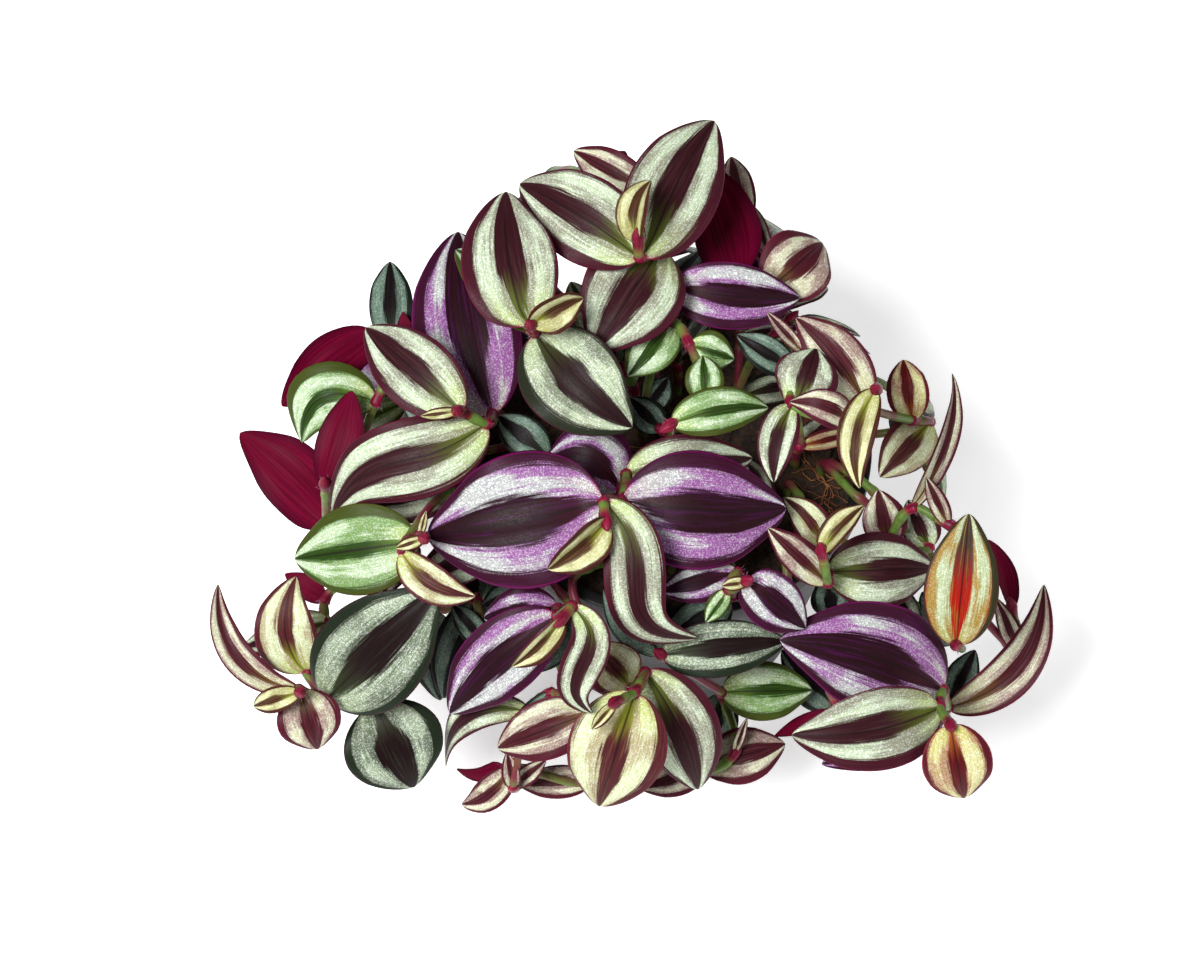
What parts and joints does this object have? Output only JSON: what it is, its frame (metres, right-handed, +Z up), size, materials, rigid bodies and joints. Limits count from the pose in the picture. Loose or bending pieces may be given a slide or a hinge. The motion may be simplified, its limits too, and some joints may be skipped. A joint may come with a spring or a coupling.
{
  "type": "potted plant",
  "caption": "Striped tradescantia in a round nursery pot: a mound of silver, green and purple banded leaves on stems that arch over the rim and hang.",
  "frame": {"origin": "middle of the pot's underside, where it rests", "axes": "+Z up, +Y away from the side that the picture was taken from, +X to its right"},
  "size_m": [0.2793, 0.2637, 0.2049],
  "materials": {
    "leaf_deep": "living leaf: silver bands with a wide dark midband, burgundy underside",
    "leaf_green": "living leaf: white and green bands, burgundy underside",
    "leaf_lime": "living leaf: cream and lime bands with a crimson midband",
    "leaf_purple": "living leaf: lilac-silver bands with a maroon midband, burgundy underside",
    "leaf_shade": "living leaf in shade: dark green and grey bands",
    "leaf_silver": "living leaf: silver bands with a maroon midband and margin, burgundy underside",
    "pot": "moulded black nursery plastic, faint sheen",
    "soil": null
  },
  "bodies": {
    "root": {"pot": "pot", "soil": "soil", "stem_bottom": "leaf_silver", "stem_centre": "leaf_purple", "stem_centre_green": "leaf_green", "stem_crown": "leaf_silver", "stem_crown_right": "leaf_silver", "stem_far_right": "leaf_silver", "stem_hanging_01": "leaf_deep", "stem_hanging_02": "leaf_deep", "stem_hanging_03": "leaf_deep", "stem_hanging_06": "leaf_deep", "stem_hanging_07": "leaf_deep", "stem_hanging_10": "leaf_deep", "stem_inner_01": "leaf_shade", "stem_inner_02": "leaf_shade", "stem_inner_03": "leaf_shade", "stem_inner_04": "leaf_shade", "stem_left": "leaf_silver", "stem_left_middle": "leaf_green", "stem_low_green": "leaf_green", "stem_low_left": "leaf_purple", "stem_lower_centre": "leaf_silver", "stem_lower_left": "leaf_deep", "stem_lower_right": "leaf_purple", "stem_right_edge": "leaf_silver", "stem_right_low": "leaf_silver", "stem_right_middle": "leaf_lime", "stem_right_top": "leaf_silver", "stem_upper_left": "leaf_silver"}
  },
  "joints": []
}
